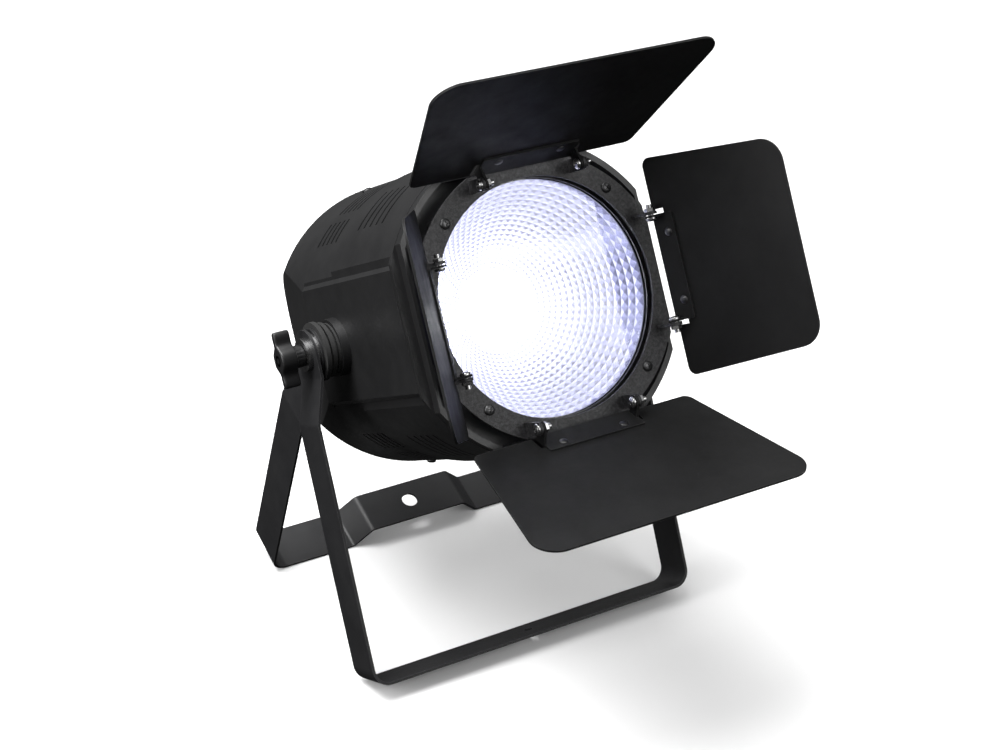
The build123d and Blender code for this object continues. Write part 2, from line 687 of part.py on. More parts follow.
CONTROL_Z = -108.5
with BuildPart() as control_board:
    with BuildSketch(Plane.XY.offset(CONTROL_Z)):
        with Locations((0, 38)):
            RectangleRounded(82, 46, 2)
    extrude(amount=1.6)
    with BuildSketch(Plane.XY.offset(CONTROL_Z - 10.5)):
        with Locations(DISPLAY_AT):
            Rectangle(54, 18)
    extrude(amount=10.5)
    with BuildSketch(Plane.XY.offset(CONTROL_Z - 2)):
        with Locations(*[(x, BUTTON_Y) for x in BUTTON_XS]):
            Rectangle(6, 6)
    extrude(amount=2)
write(control_board, "control_board", HEAD)

with BuildPart() as rear_panel:
    with BuildSketch(Plane.XY.offset(PANEL_Z)):
        Circle(PANEL_R)
        with Locations(DISPLAY_AT):
            Rectangle(56, 20, mode=Mode.SUBTRACT)
        with Locations(*[(x, BUTTON_Y) for x in BUTTON_XS]):
            Circle(BUTTON_R + 0.1, mode=Mode.SUBTRACT)
        with Locations(*SOCKETS.values()):
            Circle(11.6, mode=Mode.SUBTRACT)
        with Locations(FUSE_AT):
            Circle(6.2, mode=Mode.SUBTRACT)
        with PolarLocations(PANEL_SCREW_R, 4, start_angle=45):
            Circle(1.8, mode=Mode.SUBTRACT)
    extrude(amount=PANEL_THICK)
write(rear_panel, "rear_panel", HEAD)

with BuildPart() as panel_screws:
    with BuildSketch(Plane.XY.offset(PANEL_Z)):
        with PolarLocations(PANEL_SCREW_R, 4, start_angle=45):
            Circle(2.8)
    extrude(amount=-1.8)
    with BuildSketch(Plane.XY.offset(PANEL_Z)):
        with PolarLocations(PANEL_SCREW_R, 4, start_angle=45):
            Circle(1.5)
    extrude(amount=8)
write(panel_screws, "panel_screws", HEAD)

with BuildPart() as display_window:
    with BuildSketch(Plane.XY.offset(PANEL_Z - 0.8)):
        with Locations(DISPLAY_AT):
            RectangleRounded(60, 24, 2)
    extrude(amount=0.8)
    with BuildSketch(Plane.XY.offset(PANEL_Z)):
        with Locations(DISPLAY_AT):
            Rectangle(56, 20)
    extrude(amount=1.6)
write(display_window, "display_window", HEAD)

for x, word in zip(BUTTON_XS, BUTTON_NAMES):
    with BuildPart() as button:
        with BuildSketch(Plane.XY.offset(PANEL_Z - 2.4)):
            with Locations((x, BUTTON_Y)):
                Circle(BUTTON_R)
        extrude(amount=PANEL_THICK + 2.6)
        fillet(button.faces().sort_by(Axis.Z)[0].edges(), 0.7)
        with BuildSketch(Plane.XY.offset(BACK_Z + 0.2)):
            with Locations((x, BUTTON_Y)):
                Circle(BUTTON_R + 1.4)
        extrude(amount=1.2)
        with BuildSketch(Plane.XY.offset(BACK_Z + 1.4)):
            with Locations((x, BUTTON_Y)):
                Circle(1.6)
        extrude(amount=CONTROL_Z - 2 - BUTTON_TRAVEL - 0.4 - BACK_Z - 1.4)
    write(button, f"button_{word}", HEAD)


CONTACT_TALL = 2.5      # the contacts stand low on the floor of the recess


def round_socket(name, at, pins, key_wide):
    """Chassis socket: square flange with two screw heads, a barrel, a recess and its contacts."""
    with BuildPart() as socket:
        with BuildSketch(Plane.XY.offset(PANEL_Z - 2)):
            with Locations(at):
                RectangleRounded(26, 31, 2.5)
        extrude(amount=2)
        with BuildSketch(Plane.XY.offset(PANEL_Z)):
            with Locations(at):
                Circle(11.4)
        extrude(amount=24)
        with BuildSketch(Plane.XY.offset(PANEL_Z - 2)):
            with Locations(at):
                Circle(9.6)
                with Locations((0, 9.6)):
                    Rectangle(key_wide, 2.4)
        extrude(amount=16, mode=Mode.SUBTRACT)
        with BuildSketch(Plane.XY.offset(PANEL_Z + 14)):
            with Locations(at):
                with PolarLocations(4.6, pins, start_angle=30):
                    Circle(1.25)
        extrude(amount=-CONTACT_TALL)
        with BuildSketch(Plane.XY.offset(PANEL_Z - 2)):
            with Locations(at):
                with Locations((-10, 12.5), (10, -12.5)):
                    Circle(2.0)
        extrude(amount=-0.9)
    write(socket, name, HEAD)


for name, at in SOCKETS.items():
    if name.startswith("dmx"):
        round_socket(name, at, 3, 3.0)
    else:
        round_socket(name, at, 2, 6.0)

with BuildPart() as fuse_holder:
    with BuildSketch(Plane.XY.offset(PANEL_Z - 5)):
        with Locations(FUSE_AT):
            RegularPolygon(8.0, 12)
    extrude(amount=5)
    with BuildSketch(Plane.XY.offset(PANEL_Z - 5)):
        with Locations(FUSE_AT):
            Rectangle(10, 1.4)
    extrude(amount=1.2, mode=Mode.SUBTRACT)
    with BuildSketch(Plane.XY.offset(PANEL_Z)):
        with Locations(FUSE_AT):
            Circle(6.0)
    extrude(amount=26)
write(fuse_holder, "fuse_holder", HEAD)

# ==== safety eye ==================================================================================
with BuildPart() as safety_eye:
    with BuildLine() as eye_line:
        Line((-EYE_HALF, EYE_Y, BACK_Z + 5), (-EYE_HALF, EYE_Y, BACK_Z - 7))
        ThreePointArc((-EYE_HALF, EYE_Y, BACK_Z - 7), (0, EYE_Y, BACK_Z - 7 - EYE_HALF),
                      (EYE_HALF, EYE_Y, BACK_Z - 7))
        Line((EYE_HALF, EYE_Y, BACK_Z - 7), (EYE_HALF, EYE_Y, BACK_Z + 5))
    with BuildSketch(Plane(origin=(-EYE_HALF, EYE_Y, BACK_Z + 5), z_dir=(0, 0, -1))):
        Circle(WIRE_R)
    sweep()
    with BuildSketch(Plane.XY.offset(BACK_Z + WALL)):
        with Locations((0, EYE_Y)):
            RectangleRounded(24, 4.6, 1)
    extrude(amount=2)
write(safety_eye, "safety_eye", HEAD)
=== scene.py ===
"""Looks of the LED par can: materials, reflector, screws, knobs, panel details, light and camera.

Metres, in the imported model's frame. The pieces of the head are drawn in the head's own axes (x right,
y up, z along the beam) and set in place by HEAD, which is worked out from the fan's and the tilt's joints.
"""
import json
import math
import random

import bmesh
import bpy
from mathutils import Matrix, Quaternion, Vector


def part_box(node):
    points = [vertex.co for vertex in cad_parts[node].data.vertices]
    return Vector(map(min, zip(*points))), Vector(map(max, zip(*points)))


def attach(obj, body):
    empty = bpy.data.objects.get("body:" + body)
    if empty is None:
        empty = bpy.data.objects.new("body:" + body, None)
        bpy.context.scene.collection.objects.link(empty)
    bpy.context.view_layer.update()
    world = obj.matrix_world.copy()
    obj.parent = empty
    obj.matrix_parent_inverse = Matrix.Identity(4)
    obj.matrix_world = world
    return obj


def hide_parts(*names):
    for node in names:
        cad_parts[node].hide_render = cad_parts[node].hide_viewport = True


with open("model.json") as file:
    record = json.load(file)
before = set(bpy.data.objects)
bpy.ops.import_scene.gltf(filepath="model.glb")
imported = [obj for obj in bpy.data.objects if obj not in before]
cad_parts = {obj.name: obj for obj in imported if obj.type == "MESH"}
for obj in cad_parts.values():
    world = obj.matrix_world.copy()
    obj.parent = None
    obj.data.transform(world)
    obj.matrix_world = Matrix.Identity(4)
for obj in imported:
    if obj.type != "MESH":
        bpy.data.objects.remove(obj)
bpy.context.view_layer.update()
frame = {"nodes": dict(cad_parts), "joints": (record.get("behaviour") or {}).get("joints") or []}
NODES = frame["nodes"]
JOINTS = {joint["name"]: joint for joint in frame["joints"]}
MM = 0.001

# ---- the head's axes ----------------------------------------------------------------------------
FAN_DEPTH = 32 * MM                      # the fan joint's place behind the trunnion, along the beam
beam = Vector(JOINTS["fan_spin"]["axis"]).normalized()
across = Vector((1, 0, 0))
rise = beam.cross(across)
pivot = Vector(JOINTS["head_tilt"]["pos_m"])
centre = Vector(JOINTS["fan_spin"]["pos_m"]) + beam * FAN_DEPTH
HEAD = Matrix.Translation(centre) @ Matrix((across, rise, beam)).transposed().to_4x4()
TRUNNION_Y = (HEAD.inverted() @ pivot).y


# ==== materials ==================================================================================
class Nodes:
    """Small helper that adds and links shader nodes."""

    def __init__(self, name):
        self.material = bpy.data.materials.new(name)
        self.material.use_nodes = True
        self.tree = self.material.node_tree
        self.shader = self.tree.nodes["Principled BSDF"]
        coordinates = self.add("ShaderNodeTexCoord")
        self.place = coordinates.outputs["Object"]

    def add(self, kind, **values):
        node = self.tree.nodes.new(kind)
        for key, value in values.items():
            setattr(node, key, value)
        return node

    def link(self, source, target):
        self.tree.links.new(source, target)

    def noise(self, scale, detail=4.0, roughness=0.55, stretch=None):
        """Noise value over the object, with `scale` features to the metre."""
        node = self.add("ShaderNodeTexNoise")
        node.inputs["Scale"].default_value = scale
        node.inputs["Detail"].default_value = detail
        node.inputs["Roughness"].default_value = roughness
        source = self.place
        if stretch:
            mapping = self.add("ShaderNodeMapping")
            mapping.inputs["Scale"].default_value = stretch
            self.link(self.place, mapping.inputs["Vector"])
            source = mapping.outputs["Vector"]
        self.link(source, node.inputs["Vector"])
        return node.outputs["Fac"]

    def cells(self, scale):
        """Distance to the nearest cell point."""
        node = self.add("ShaderNodeTexVoronoi")
        node.inputs["Scale"].default_value = scale
        self.link(self.place, node.inputs["Vector"])
        return node.outputs["Distance"]

    def spread(self, value, low, high, new_low=0.0, new_high=1.0):
        """Maps low..high to new_low..new_high, clamped."""
        node = self.add("ShaderNodeMapRange")
        limits = {"From Min": low, "From Max": high, "To Min": new_low, "To Max": new_high}
        for socket, number in limits.items():
            node.inputs[socket].default_value = number
        self.link(value, node.inputs["Value"])
        return node.outputs["Result"]

    def blend(self, factor, first, second):
        """Colour between two colours or sockets."""
        node = self.add("ShaderNodeMix", data_type="RGBA")
        self.link(factor, node.inputs["Factor"])
        for value, socket in ((first, node.inputs[6]), (second, node.inputs[7])):
            if isinstance(value, tuple):
                socket.default_value = (*value, 1)
            else:
                self.link(value, socket)
        return node.outputs[2]

    def edges(self, radius):
        """1 on sharp edges, 0 on flat ground."""
        bevel = self.add("ShaderNodeBevel", samples=4)
        bevel.inputs["Radius"].default_value = radius
        geometry = self.add("ShaderNodeNewGeometry")
        dot = self.add("ShaderNodeVectorMath", operation="DOT_PRODUCT")
        self.link(bevel.outputs["Normal"], dot.inputs[0])
        self.link(geometry.outputs["Normal"], dot.inputs[1])
        return self.spread(dot.outputs["Value"], 0.98, 0.8)

    def bump(self, height, distance, strength=1.0, before=None):
        node = self.add("ShaderNodeBump")
        node.inputs["Distance"].default_value = distance
        node.inputs["Strength"].default_value = strength
        self.link(height, node.inputs["Height"])
        if before:
            self.link(before, node.inputs["Normal"])
        return node.outputs["Normal"]


def coated(name, dark, light, rough, grain, depth, edge=None, edge_size=0.0006, **fixed):
    """A surface with mottled colour, uneven gloss, a fine grain and, if given, lighter worn edges."""
    n = Nodes(name)
    broad = n.noise(24, 5)
    fine = n.noise(grain, 3, 0.6)
    colour = n.blend(n.spread(broad, 0.3, 0.7), dark, light)
    if edge:
        patchy = n.add("ShaderNodeMath", operation="MULTIPLY")
        n.link(n.edges(edge_size), patchy.inputs[0])
        n.link(n.spread(n.noise(160, 4), 0.35, 0.65, 0.25, 1.0), patchy.inputs[1])
        colour = n.blend(patchy.outputs[0], colour, edge)
    n.link(colour, n.shader.inputs["Base Color"])
    n.link(n.spread(n.noise(60, 6, 0.65), 0.3, 0.7, rough[0], rough[1]), n.shader.inputs["Roughness"])
    n.link(n.bump(fine, depth), n.shader.inputs["Normal"])
    for socket, value in fixed.items():
        n.shader.inputs[socket.replace("_", " ")].default_value = value
    return n.material


def sparkled(name, dark, light, rough, grain, depth):
    """Coarse textured paint: rounded grains with glossy tops."""
    n = Nodes(name)
    grains = n.cells(grain)
    uneven = n.noise(grain * 0.4, 4, 0.7)
    n.link(n.blend(n.spread(uneven, 0.42, 0.68), dark, light), n.shader.inputs["Base Color"])
    n.link(n.spread(grains, 0.1, 0.7, rough[0], rough[1]), n.shader.inputs["Roughness"])
    first = n.bump(uneven, depth)
    n.link(n.bump(grains, depth, 0.7, before=first), n.shader.inputs["Normal"])
    return n.material


def metal(name, dark, light, rough, brush=(1, 1, 1), grain=500, depth=0.00002):
    """Bare or plated metal with fine brushing."""
    n = Nodes(name)
    lines = n.noise(grain, 4, 0.6, stretch=brush)
    n.link(n.blend(n.spread(n.noise(90, 5), 0.3, 0.7), dark, light), n.shader.inputs["Base Color"])
    n.link(n.spread(lines, 0.3, 0.7, rough[0], rough[1]), n.shader.inputs["Roughness"])
    n.link(n.bump(lines, depth), n.shader.inputs["Normal"])
    n.shader.inputs["Metallic"].default_value = 1.0
    return n.material


def clear(name, tint, rough, ior=1.45):
    """Clear glass or window with faint smears in its gloss."""
    n = Nodes(name)
    n.link(n.spread(n.noise(35, 5), 0.45, 0.75, rough, rough + 0.05), n.shader.inputs["Roughness"])
    n.link(n.blend(n.noise(12), tint, tuple(c * 0.985 for c in tint)), n.shader.inputs["Base Color"])
    n.shader.inputs["Transmission Weight"].default_value = 1.0
    n.shader.inputs["IOR"].default_value = ior
    return n.material


def reflector_material():
    """Faceted aluminium with a painted reflection of the LED: each facet's painted light, given out as
    emission, is kept in the mesh's glow attribute.
    """
    n = Nodes("reflector_facets")
    glow = n.add("ShaderNodeAttribute", attribute_name="glow").outputs["Fac"]
    # painted reflection colour: lilac where the painted light is weak, white where it is strong
    tint = n.blend(n.spread(glow, 0.25, 0.95), (0.50, 0.51, 0.95), (1.0, 1.0, 1.0))
    n.link(n.blend(n.noise(200), (0.40, 0.41, 0.52), (0.46, 0.47, 0.57)), n.shader.inputs["Base Color"])
    n.link(tint, n.shader.inputs["Emission Color"])
    # the painted light is given out as emission, though the reflector is no lamp
    n.link(n.spread(glow, 0.0, 1.0, 0.12, 0.95), n.shader.inputs["Emission Strength"])
    n.link(n.spread(n.noise(300), 0.3, 0.7, 0.16, 0.28), n.shader.inputs["Roughness"])
    n.shader.inputs["Metallic"].default_value = 1.0
    return n.material


def lit(name, first, second, strength, scale):
    """A surface that gives light, with some cell structure."""
    n = Nodes(name)
    colour = n.blend(n.spread(n.cells(scale), 0.2, 0.6), first, second)
    n.link(colour, n.shader.inputs["Emission Color"])
    n.link(colour, n.shader.inputs["Base Color"])
    n.shader.inputs["Emission Strength"].default_value = strength
    n.shader.inputs["Roughness"].default_value = 0.4
    return n.material


M = {
    "yoke": coated("yoke_powder_coat", (0.011, 0.011, 0.012), (0.018, 0.018, 0.019), (0.36, 0.5), 1500,
                   0.00006, edge=(0.09, 0.09, 0.092), Specular_IOR_Level=0.36),
    "housing": coated("housing_satin_black", (0.009, 0.009, 0.0095), (0.013, 0.013, 0.0135), (0.36, 0.46),
                      2200, 0.00004, edge=(0.03, 0.03, 0.031), edge_size=0.0004),
    "leaf": coated("leaf_matt_black", (0.006, 0.006, 0.0062), (0.0095, 0.0095, 0.0098), (0.5, 0.64), 1300,
                   0.00005, edge=(0.06, 0.06, 0.06), Specular_IOR_Level=0.17),
    "ring": sparkled("ring_textured_black", (0.006, 0.006, 0.0065), (0.035, 0.034, 0.037), (0.3, 0.62),
                     1100, 0.00022),
    "panel": sparkled("panel_textured_black", (0.008, 0.008, 0.009), (0.02, 0.02, 0.021), (0.4, 0.6), 1500,
                      0.0001),
    "zinc": metal("bright_zinc", (0.3, 0.3, 0.31), (0.46, 0.46, 0.45), (0.18, 0.36)),
    "dark_steel": metal("blackened_steel", (0.05, 0.05, 0.052), (0.11, 0.11, 0.11), (0.28, 0.45)),
    "brass": metal("turned_brass", (0.62, 0.42, 0.15), (0.78, 0.57, 0.25), (0.2, 0.36), brush=(8, 1, 1)),
    "knob": coated("knob_moulded_black", (0.007, 0.007, 0.0075), (0.012, 0.012, 0.0125), (0.3, 0.44), 900,
                   0.00007, edge=(0.03, 0.03, 0.03)),
    "rubber": coated("rubber_black", (0.01, 0.01, 0.01), (0.02, 0.02, 0.02), (0.7, 0.9), 800, 0.00012),
    "glass": clear("front_glass_clear", (0.97, 0.985, 1.0), 0.0),
    "window": clear("display_window_smoked", (0.30, 0.33, 0.36), 0.03),
    "reflector": reflector_material(),
    "led": lit("led_phosphor", (1.0, 0.97, 0.93), (1.0, 1.0, 1.0), 11.0, 900),
    # the white board also gives out light through its emission, a painted glow standing in for the LED's light
    # on it
    "mask_white": coated("board_white_mask_painted_glow", (0.62, 0.62, 0.6), (0.72, 0.72, 0.7), (0.35, 0.5), 900, 0.00003,
                         Emission_Color=(1.0, 1.0, 1.0, 1.0), Emission_Strength=1.2),
    "alu": metal("extruded_aluminium", (0.42, 0.42, 0.43), (0.58, 0.58, 0.59), (0.3, 0.48), brush=(1, 1, 12)),
    "fan": coated("fan_black_plastic", (0.008, 0.008, 0.008), (0.014, 0.014, 0.014), (0.35, 0.5), 700,
                  0.00005),
    "board": coated("board_green_mask", (0.012, 0.07, 0.028), (0.02, 0.11, 0.045), (0.25, 0.4), 700, 0.00004),
    "socket": coated("socket_black_nylon", (0.009, 0.009, 0.01), (0.016, 0.016, 0.017), (0.42, 0.6), 1000,
                     0.00008, edge=(0.04, 0.04, 0.04)),
    "socket_blue": coated("socket_blue_plastic", (0.01, 0.045, 0.21), (0.015, 0.06, 0.27), (0.35, 0.5), 900,
                          0.00006),
    "socket_grey": coated("socket_grey_plastic", (0.33, 0.34, 0.35), (0.4, 0.41, 0.42), (0.35, 0.5), 900,
                          0.00006),
    "button": coated("button_silicone", (0.03, 0.03, 0.032), (0.045, 0.045, 0.047), (0.6, 0.8), 900, 0.00008),
    "digit": lit("display_digit_glow", (0.45, 0.75, 1.0), (0.6, 0.85, 1.0), 3.0, 700),
}


# ==== mesh helpers ===============================================================================
def piece(name, mesh, material, body, place=HEAD, smooth=30.0, stands_for=()):
    """Puts a bmesh in the scene as a piece of the object that rides on a body."""
    bmesh.ops.remove_doubles(mesh, verts=mesh.verts, dist=1e-6)
    bmesh.ops.recalc_face_normals(mesh, faces=mesh.faces)
    mesh.transform(place)
    limit = math.radians(smooth)
    for face in mesh.faces:
        face.smooth = smooth > 0
    for edge in mesh.edges:
        edge.smooth = len(edge.link_faces) == 2 and edge.calc_face_angle(math.pi) < limit
    data = bpy.data.meshes.new(name)
    mesh.to_mesh(data)
    mesh.free()
    data.materials.append(M[material])
    made = bpy.data.objects.new(name, data)
    bpy.context.scene.collection.objects.link(made)
    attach(made, body)
    if stands_for:
        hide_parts(*stands_for)
    return made


def lathe(profile, segments=48, target=None, turn=0.0):
    """Revolves (radius, height) points about Z. Closed at both ends where the radius is zero."""
    mesh = target or bmesh.new()
    rings = []
    for radius, height in profile:
        if radius < 1e-9:
            rings.append([mesh.verts.new((0, 0, height))])
            continue
        angles = [turn + 2 * math.pi * i / segments for i in range(segments)]
        rings.append([mesh.verts.new((radius * math.cos(a), radius * math.sin(a), height)) for a in angles])
    for low, high in zip(rings, rings[1:]):
        for i in range(segments):
            j = (i + 1) % segments
            corners = [low[i % len(low)], low[j % len(low)], high[j % len(high)], high[i % len(high)]]
            unique = list(dict.fromkeys(corners))
            if len(unique) > 2:
                mesh.faces.new(unique)
    return mesh


def stack(outlines, target=None):
    """Skins a list of closed outlines with equal point counts and caps both ends."""
    mesh = target or bmesh.new()
    rings = [[mesh.verts.new(point) for point in outline] for outline in outlines]
    for low, high in zip(rings, rings[1:]):
        for i in range(len(low)):
            j = (i + 1) % len(low)
            mesh.faces.new((low[i], low[j], high[j], high[i]))
    mesh.faces.new(rings[0][::-1])
    mesh.faces.new(rings[-1])
    return mesh


def cushion_edges(outline_at, height, round_edge, steps=4):
    """Outlines from the bottom to the top of a block whose upper and lower rims are rounded."""
    rings = []
    for i in range(steps + 1):
        a = math.pi / 2 * i / steps
        rings.append(outline_at(round_edge * (1 - math.sin(a)), round_edge * (1 - math.cos(a))))
    for i in range(steps + 1):
        a = math.pi / 2 * i / steps
        rings.append(outline_at(round_edge * (1 - math.cos(a)), height - round_edge * (1 - math.sin(a))))
    return rings


def rounded_rectangle(wide, high, radius, z, centre_at=(0, 0), steps=5):
    """Closed outline of a rounded rectangle at height z."""
    points = []
    for quarter, (sx, sy) in enumerate(((1, 1), (-1, 1), (-1, -1), (1, -1))):
        for i in range(steps + 1):
            a = math.pi / 2 * (quarter + i / steps)
            x = sx * (wide / 2 - radius) + radius * math.cos(a)
            y = sy * (high / 2 - radius) + radius * math.sin(a)
            points.append((centre_at[0] + x, centre_at[1] + y, z))
    return points


def block(wide, high, low, top, radius, edge, centre_at=(0, 0), target=None):
    """Rounded block between two heights with softened rims."""
    def outline_at(inset, z):
        r = max(radius - inset, radius * 0.3)
        return rounded_rectangle(wide - 2 * inset, high - 2 * inset, r, low + z, centre_at)
    return stack(cushion_edges(outline_at, top - low, edge, 3), target)


def cut(base, cutter):
    """base minus cutter, both bmeshes in the same axes, as a new bmesh."""
    objects = []
    for mesh in (base, cutter):
        bmesh.ops.recalc_face_normals(mesh, faces=mesh.faces)
        data = bpy.data.meshes.new("cutting")
        mesh.to_mesh(data)
        mesh.free()
        made = bpy.data.objects.new("cutting", data)
        bpy.context.scene.collection.objects.link(made)
        objects.append(made)
    modifier = objects[0].modifiers.new("cut", "BOOLEAN")
    modifier.operation = "DIFFERENCE"
    modifier.solver = "EXACT"
    modifier.object = objects[1]
    graph = bpy.context.evaluated_depsgraph_get()
    result = bmesh.new()
    result.from_object(objects[0], graph)
    for made in objects:
        bpy.data.objects.remove(made)
    return result


def joined(parts, spots):
    """One bmesh holding a copy of the small mesh at every spot, a matrix each."""
    whole = bmesh.new()
    shape = bpy.data.meshes.new("shape")
    parts.to_mesh(shape)
    parts.free()
    for spot in spots:
        start = len(whole.verts)
        whole.from_mesh(shape)
        whole.verts.ensure_lookup_table()
        bmesh.ops.transform(whole, matrix=spot, verts=whole.verts[start:])
    bpy.data.meshes.remove(shape)
    return whole


def pan_head(radius, height, shank, shank_deep):
    """Pan head screw with a cross recess, its seat at z = 0 and its top towards +Z."""
    dome = [(radius * math.cos(a), height * (0.35 + 0.65 * math.sin(a))) for a in
            [math.pi / 2 * i / 6 for i in range(6)]]
    profile = [(0, -shank_deep), (shank, -shank_deep), (shank, 0), (radius, 0)] + dome + [(0, height)]
    head = lathe(profile, 32)
    arm = radius * 0.62
    wide = radius * 0.24
    for turn in (0, math.pi / 2):
        bar = bmesh.new()
        outlines = []
        for grow, z in ((0.35, height * 0.25), (1.0, height * 1.2)):
            outlines.append([(x * arm * grow, y * wide / 2, z)
                             for x, y in ((-1, -1), (1, -1), (1, 1), (-1, 1))])
        stack(outlines, bar)
        bar.transform(Matrix.Rotation(turn, 4, "Z"))
        data = bpy.data.meshes.new("bar")
        bar.to_mesh(data)
        bar.free()
        head = cut(head, as_bmesh(data))
    return head


def as_bmesh(data):
    """A bmesh from mesh data, which is then removed."""
    mesh = bmesh.new()
    mesh.from_mesh(data)
    bpy.data.meshes.remove(data)
    return mesh


def aim(position, direction, spin=0.0):
    """Matrix that puts +Z along direction at position."""
    turn = Vector(direction).to_track_quat("Z", "Y").to_matrix().to_4x4()
    return Matrix.Translation(Vector(position)) @ turn @ Matrix.Rotation(spin, 4, "Z")


# ==== materials of the CAD nodes =================================================================
DOORS = ("top", "left", "bottom", "right")
NODE_MATERIALS = {
    "yoke": ("rear_yoke", "front_yoke"),
    "housing": ("housing_shell", "cheek_left", "cheek_right", "rear_cover", "front_bezel"),
    "ring": ("barndoor_ring",),
    "leaf": [f"{part}_{door}" for part in ("leaf", "hinge_bracket") for door in DOORS],
    "panel": ("rear_panel",),
    "zinc": ("yoke_spacer_washers", "clamp_washers", "stud_left", "stud_right", "safety_eye"),
    "dark_steel": ("cheek_screws", "ring_standoffs", "glass_retainer", "bulkhead"),
    "brass": ("threaded_insert_left", "threaded_insert_right"),
    "rubber": ("friction_pads", "glass_gasket"),
    "glass": ("front_glass",),
    "mask_white": ("led_board",),
    "led": ("cob_led",),
    "alu": ("heatsink",),
    "fan": ("fan_frame", "fan_rotor"),
    "board": ("driver_board", "control_board"),
    "socket": ("dmx_in_socket", "dmx_out_socket", "fuse_holder"),
    "socket_blue": ("power_in_socket",),
    "socket_grey": ("power_out_socket",),
    "window": ("display_window",),
    "button": ("button_menu", "button_down", "button_up", "button_enter"),
}
for key, names in NODE_MATERIALS.items():
    for name in names:
        NODES[name].data.materials.clear()
        NODES[name].data.materials.append(M[key])


# ==== faceted reflector ==========================================================================
THROAT_Z = 46 * MM
THROAT_R = 15 * MM
MOUTH_R = 81.8 * MM
RIM_R = 84.2 * MM
RIM_Z = 126.3 * MM
SHEET = 1.5 * MM
FLUTES = 66
RINGS = 22
PILLOW = 0.8 * MM


def make_reflector():
    """Bowl of rings and flutes, each cell a low pyramid, with its painted reflection of the LED kept as a face
    attribute.
    """
    rng = random.Random(7)
    mouth_z = RIM_Z - SHEET
    bowl = (MOUTH_R ** 2 - THROAT_R ** 2) / (mouth_z - THROAT_Z)
    radii = [THROAT_R + (MOUTH_R - THROAT_R) * (i / RINGS) ** 0.92 for i in range(RINGS + 1)]
    depths = [THROAT_Z + (r ** 2 - THROAT_R ** 2) / bowl for r in radii]
    mesh = bmesh.new()
    glow = mesh.faces.layers.float.new("glow")
    rings = []
    for radius, z in zip(radii, depths):
        angles = [2 * math.pi * k / FLUTES for k in range(FLUTES)]
        rings.append([mesh.verts.new((radius * math.cos(a), radius * math.sin(a), z)) for a in angles])
    for i in range(RINGS):
        out = (radii[i] + radii[i + 1]) / 2 / MOUTH_R
        light = 1.5 * math.exp(-((out / 0.55) ** 3.0)) + 0.36          # painted reflection of the LED: bright throat, dimmer mouth
        for k in range(FLUTES):
            a, b = rings[i][k], rings[i][(k + 1) % FLUTES]
            c, d = rings[i + 1][(k + 1) % FLUTES], rings[i + 1][k]
            middle = (a.co + b.co + c.co + d.co) / 4
            normal = (c.co - a.co).cross(d.co - b.co).normalized()
            towards_axis = -1 if normal.dot(Vector((middle.x, middle.y, 0))) > 0 else 1
            peak = mesh.verts.new(middle + normal * PILLOW * towards_axis)
            cell = light * rng.uniform(0.9, 1.08)
            # painted light and shade on each pyramid's sides: the side towards the throat brightest, the side
            # towards the mouth darkest
            for (one, two), share in zip(((a, b), (b, c), (c, d), (d, a)), (1.55, 0.95, 0.42, 1.1)):
                face = mesh.faces.new((one, two, peak))
                face[glow] = min(1.0, cell * share)
    lathe([(MOUTH_R, mouth_z), (RIM_R, RIM_Z), (RIM_R, RIM_Z - SHEET),
           *[(r + SHEET, z) for r, z in zip(radii[::-3], depths[::-3])], (THROAT_R, THROAT_Z)], FLUTES, mesh)
    piece("reflector_facets", mesh, "reflector", "head", smooth=0,
          stands_for=("reflector",))


make_reflector()

# ==== screws, nuts and rivets ====================================================================
RING_TOP_Z = 138 * MM
RING_SCREW_R = 89.6 * MM
EAR_OUTER = 40 * MM
INNER_FACE = 35.7 * MM
HINGE_SCREW = 2 * MM
COVER_SCREWS_AT = (75, 105, 255, 285)    # degrees round the rear cover
COVER_SCREW_R = 108 * MM
COVER_SCREW_Z = -50 * MM
PANEL_SCREW_R = 73 * MM
PANEL_SCREW_Z = -122.5 * MM
RIVET_SPREAD = 24 * MM
RIVET_HEAD_R = 3.0 * MM
RIVET_HEAD = 1.0 * MM
RIVET_TAIL_R = 2.6 * MM
RIVET_TAIL = 0.7 * MM
RIVET_SHANK_R = 1.6 * MM
CORNER_TURNS = [math.radians(45 + 90 * i) for i in range(4)]
rng = random.Random(3)


def local(point):
    """A point of the model's frame in the head's axes."""
    return HEAD.inverted() @ Vector(point)


def make_ring_screws():
    """Four screws that hold the barn door ring, seen on its front face."""
    spots = [aim((RING_SCREW_R * math.cos(a), RING_SCREW_R * math.sin(a), RING_TOP_Z), (0, 0, 1),
                 rng.uniform(0, 3)) for a in CORNER_TURNS]
    screws = joined(pan_head(3.7 * MM, 2.2 * MM, 1.8 * MM, 20 * MM), spots)
    piece("ring_cross_screws", screws, "dark_steel", "head", stands_for=("ring_screws",))


def hinge_spots():
    """Place and direction of the head, then of the nut, for each of the eight hinge screws."""
    found = []
    for door in DOORS:
        joint = JOINTS[f"leaf_{door}_hinge"]
        middle = local(joint["pos_m"])
        along = (HEAD.to_3x3().inverted() @ Vector(joint["axis"])).normalized()
        for side in (-1, 1):
            head_outside = door in ("top", "bottom") and side * along.x < 0
            head_at, nut_at = (EAR_OUTER, INNER_FACE) if head_outside else (INNER_FACE, EAR_OUTER)
            out = side if head_outside else -side
            found.append((middle + along * side * head_at, along * out,
                          middle + along * side * nut_at, along * -out))
    return found


